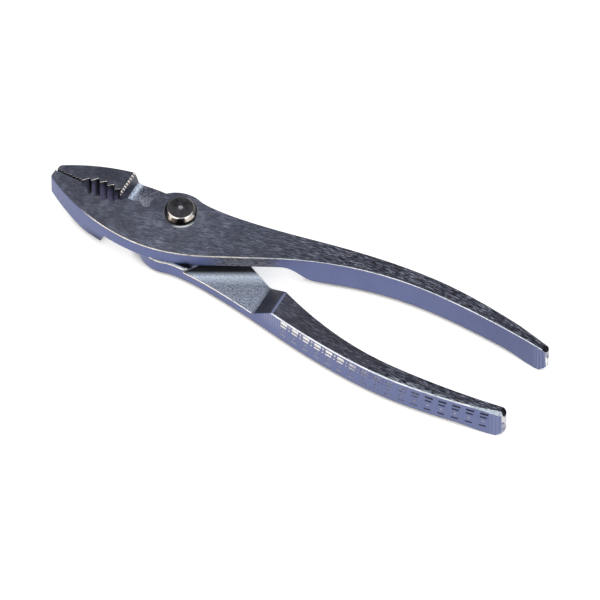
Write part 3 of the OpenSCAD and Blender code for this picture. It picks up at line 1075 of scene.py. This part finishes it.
# %% [markdown]
# ## Bolt and nut
#
# The bolt is turned on a lathe, so its profile is drawn once and spun round the pivot axis.
# Its head is polished and shows the room. Painted shade darkens its crown, the side of the head and
# parts of the bevel, and a painted highlight lines the front of the crown's edge.
# Rings and sides of the head are told apart by the distance from the pivot axis.

# %% Bolt and nut finish
FRONT = Vector((0.482, -0.876, 0))
ASIDE = Vector((0.876, 0.482, 0))
GLINT = (3.7 * FRONT - 3.6 * ASIDE) * MM

polish = Finish("polished_nickel")
cloud = polish.marks(clouds, Size=260)["Cloud"]
offset = polish.vector("SUBTRACT", polish.place, (pivot.x, pivot.y, 0))
level = polish.vector("MULTIPLY", offset, (1, 1, 0))
radius = polish.vector("LENGTH", level)
front = polish.vector("DOT_PRODUCT", offset, FRONT)
aside = polish.vector("DOT_PRODUCT", offset, ASIDE)
glint = polish.vector("DISTANCE", level, GLINT)
# Painted shade: brown on the bevel away from the glint, black on the side of the head, and dark on
# the back of the bevel. Painted highlight: a thin pale line along the front of the crown's edge
brown = polish.times(polish.within(radius, 5.1, 5.3), polish.within(aside, 2.2, 0.8, 0, 0.93),
                     polish.within(glint, 0.45, 1.0))
black = polish.times(polish.within(radius, 5.82, 5.95), polish.within(aside, -3.2, -1.5))
chamfer_shade = polish.times(polish.within(front, 3.1, 2.5), polish.within(radius, 5.0, 5.1, 0.9, 1))
edge = polish.times(polish.within(radius, 5.1, 5.05), polish.within(front, 1.6, 2.6, 0, 0.9))
base = polish.layers(
    polish.mix(cloud, (0.66, 0.60, 0.52), (0.92, 0.86, 0.77)),
    (brown, (0.055, 0.043, 0.034)),
    (black, (0.012, 0.012, 0.013)),
    (chamfer_shade, (0.060, 0.058, 0.060)),
    (edge, (0.94, 0.92, 0.90)),
    (polish.within(radius, 1.1, 1.0), (0.34, 0.34, 0.37)))
polish.dress(base, cloud, 0.07, 0.15, 0, 1)

plated = Finish("plated_nut")
cloud = plated.marks(clouds, Size=260)["Cloud"]
plated.dress(plated.mix(cloud, (0.40, 0.39, 0.38), (0.60, 0.58, 0.55)), cloud, 0.2, 0.35, 0, 1)

# Painted shade: the crown is nearly black
crown = Finish("dark_crown")
nick = crown.marks(grain, Size=900)["Grain"]
cloud = crown.marks(clouds, Size=330)["Cloud"]
crown.dress(crown.mix(cloud, (0.022, 0.022, 0.025), (0.082, 0.082, 0.090)), nick, 0.16, 0.3)

# %% [markdown]
# The profile has a bevelled head with a small dimple, a round shank for the upper half, and a
# thin end for the nut. The lower shank has two flats that pass the neck of the slot: they are
# pressed in after the spin by moving points. The nut is a copy of its node, since only its
# edges change.

# %% Turn the bolt
FLAT = 2.8
SHANK_END = 2.8
CROWN_INNER, CROWN_OUTER = 0.95, 4.7


def make_bolt():
    """Spins the bolt's profile and presses the flats of its lower shank."""
    ledge = 6.3 + FOOT_DROP
    # Corners as [radius, height] in mm
    profile = [(0, 16.6), (0.3, 16.62), (0.95, 17.06), (4.72, 17.1), (4.92, 17.05), (5.04, 16.92),
               (5.98, 15.3), (6.1, 15.1), (6.1, 14.05), (6.0, 13.95), (4.0, 13.95), (4.0, ledge),
               (4.0, ledge - 0.01), (4.0, SHANK_END), (2.5, 2.75), (2.5, 0.5), (2.3, 0.3), (0, 0.3)]
    shape = bmesh.new()
    verts = [shape.verts.new((pivot.x + r * MM, pivot.y, z * MM)) for r, z in profile]
    edges = [shape.edges.new(pair) for pair in zip(verts, verts[1:])]
    bmesh.ops.spin(shape, geom=verts + edges, cent=pivot, axis=UP, angle=math.tau, steps=96,
                   use_merge=True)
    bmesh.ops.remove_doubles(shape, verts=shape.verts, dist=0.002 * MM)
    bmesh.ops.recalc_face_normals(shape, faces=shape.faces)
    for vert in shape.verts:
        if (SHANK_END - 0.01) * MM < vert.co.z < (ledge - 0.005) * MM:
            vert.co.x = min(max(vert.co.x, along(-FLAT)), along(FLAT))
    shape.normal_update()
    for face in shape.faces:
        face.smooth = True
        centre = face.calc_center_median()
        radius = math.hypot(centre.x - pivot.x, centre.y - pivot.y) / MM
        on_crown = face.normal.z > 0.9 and CROWN_INNER < radius < CROWN_OUTER
        face.material_index = 1 if on_crown else 0
    for edge in shape.edges:
        edge.smooth = edge.calc_face_angle(0) < math.radians(28)
    print("bolt faces", len(shape.faces))
    new_piece("pivot_bolt_turned", shape, [polish.material, crown.material], "pivot", "pivot_bolt")


def make_nut():
    """Copies the nut and rounds its edges."""
    shape = copied("pivot_nut")
    layer = shape.edges.layers.float.new("bevel_weight_edge")
    for face in shape.faces:
        face.smooth = True
    for edge in shape.edges:
        sharp = edge.calc_face_angle(0) > math.radians(30)
        edge.smooth = not sharp
        edge[layer] = 1 if sharp and edge.is_convex else 0
    print("nut faces", len(shape.faces))
    nut = new_piece("pivot_nut_slotted", shape, [plated.material], "pivot", "pivot_nut")
    round_rims(nut, 0.2)
    flatten_shading(nut)


make_bolt()
make_nut()

# %% [markdown]
# ## Stage
#
# The tool lies on a plain white floor under soft light. The paper glows a little for the
# camera and for reflections, which makes it white without more light on the steel, and the
# rest of its brightness comes from the lamps, so the tool still casts a soft shadow.

# %% Floor
FLOOR_SIZE = 20
floor_shape = bmesh.new()
bmesh.ops.create_grid(floor_shape, x_segments=1, y_segments=1, size=FLOOR_SIZE)
bmesh.ops.translate(floor_shape, verts=floor_shape.verts, vec=(0, 0, -0.05 * MM))
floor_mesh = bpy.data.meshes.new("floor")
floor_shape.to_mesh(floor_mesh)
floor_shape.free()
floor = bpy.data.objects.new("floor", floor_mesh)
bpy.context.scene.collection.objects.link(floor)

paper = bpy.data.materials.new("white_paper")
paper.use_nodes = True
tree = paper.node_tree
shader = tree.nodes["Principled BSDF"]
shader.inputs["Base Color"].default_value = (0.8, 0.8, 0.8, 1)
shader.inputs["Roughness"].default_value = 1
shader.inputs["Specular IOR Level"].default_value = 0
shader.inputs["Emission Color"].default_value = (1, 1, 1, 1)
rays = put(tree, "ShaderNodeLightPath").outputs
seen = sum_of(tree, sum_of(tree, rays["Is Camera Ray"], rays["Is Glossy Ray"], "MAXIMUM"),
              rays["Is Transmission Ray"], "MAXIMUM")
# Deep inside a gap of the tool, such as the pipe grip, the paper gets no light
wide_open = put(tree, "ShaderNodeAmbientOcclusion", {"Distance": 14 * MM}, samples=8).outputs["AO"]
near_open = put(tree, "ShaderNodeAmbientOcclusion", {"Distance": 4 * MM}, samples=8).outputs["AO"]
glow = sum_of(tree, ranged(tree, wide_open, 0.28, 0.46, 0, 0.55),
              ranged(tree, near_open, 0.7, 0.9, 0, 0.55), "MAXIMUM")
tree.links.new(sum_of(tree, seen, glow, "MULTIPLY"), shader.inputs["Emission Strength"])
even = put(tree, "ShaderNodeEmission", {"Color": (1, 1, 1, 1)}).outputs[0]
share = sum_of(tree, rays["Is Glossy Ray"], 0.75, "MULTIPLY")
lit = put(tree, "ShaderNodeMixShader", {0: share, 1: shader.outputs[0], 2: even}).outputs[0]
clear = put(tree, "ShaderNodeBsdfTransparent").outputs[0]
below = put(tree, "ShaderNodeNewGeometry").outputs["Backfacing"]
sides = put(tree, "ShaderNodeMixShader", {0: below, 1: lit, 2: clear})
tree.links.new(sides.outputs[0], tree.nodes["Material Output"].inputs["Surface"])
floor_mesh.materials.append(paper)
print("floor", floor.name)

# %% [markdown]
# The light is broad and soft, with one darker patch that shows in the bolt. A pale sky with a
# dark flag stands for the room, and three weak softboxes add the warm and the cool side. The
# level is plain, so a colour renders about as it is written.

# %% Light
world = bpy.data.worlds.new("studio")
bpy.context.scene.world = world
world.use_nodes = True
tree = world.node_tree
sky = tree.nodes["Background"]
direction = put(tree, "ShaderNodeTexCoord").outputs["Generated"]
facing = put(tree, "ShaderNodeVectorMath", {0: direction, 1: (-0.35, -0.8, 0.2)},
             operation="DOT_PRODUCT").outputs["Value"]
tone = mixed(tree, ranged(tree, facing, -0.7, 0.8), (0.62, 0.63, 0.67), (1.0, 0.98, 0.95))
parts = put(tree, "ShaderNodeSeparateXYZ", {"Vector": direction}).outputs
forward = sum_of(tree, parts["Y"], -1, "MULTIPLY")
azimuth = sum_of(tree, parts["X"], forward, "ARCTAN2")
flag = sum_of(tree, ranged(tree, azimuth, math.radians(-14), math.radians(8)),
              ranged(tree, azimuth, math.radians(70), math.radians(50)), "MULTIPLY")
flag = sum_of(tree, flag, ranged(tree, parts["Z"], 0.56, 0.5), "MULTIPLY")
tone = mixed(tree, flag, tone, (0.04, 0.04, 0.05))
rays = put(tree, "ShaderNodeLightPath").outputs
tone = mixed(tree, rays["Is Camera Ray"], tone, (1, 1, 1))
tree.links.new(tone, sky.inputs["Color"])
sky.inputs["Strength"].default_value = 1.0


def softbox(name, place, width, height, power, colour):
    """Area light that looks at the tool from a place, and that no camera sees."""
    light = bpy.data.lights.new(name, "AREA")
    light.shape = "RECTANGLE"
    light.size, light.size_y = width, height
    light.energy, light.color = power, colour
    box = bpy.data.objects.new(name, light)
    box.matrix_world = Matrix.Translation(place) @ (-Vector(place)).to_track_quat(
        "-Z", "Y").to_matrix().to_4x4()
    box.visible_camera = False
    bpy.context.scene.collection.objects.link(box)
    return box


warm = softbox("warm_softbox", (-0.335, -0.97, 0.618), 1.2, 0.35, 3.6, (1, 0.95, 0.87))
side = softbox("side_softbox", (1.06, -0.245, 0.507), 0.7, 0.4, 1.8, (1, 0.93, 0.82))
cool = softbox("cool_softbox", (0.6, 0.3, 1.4), 1.0, 0.8, 4.0, (0.95, 0.97, 1))
print("lights", warm.name, side.name, cool.name)

# %% [markdown]
# The camera is far away and has a long lens, because the photograph shows hardly any
# perspective. Its angle was found by matching the outline of the tool.

# %% Camera
AZIMUTH, ELEVATION = math.radians(28.8), math.radians(54.1)
DISTANCE = 6
LENS = 972
target = Vector((0.0089, -0.0083, 0.0142))
back = Vector((math.sin(AZIMUTH) * math.cos(ELEVATION), -math.cos(AZIMUTH) * math.cos(ELEVATION),
               math.sin(ELEVATION)))
camera = bpy.data.objects.new("camera", bpy.data.cameras.new("camera"))
camera.data.sensor_width = 36
camera.data.lens = LENS
camera.location = target + DISTANCE * back
camera.rotation_euler = (-back).to_track_quat("-Z", "Y").to_euler()
camera.data.clip_end = 100
bpy.context.scene.collection.objects.link(camera)
bpy.context.scene.camera = camera
bpy.context.scene.view_settings.view_transform = "Standard"
print("camera at", [round(value, 3) for value in camera.location])
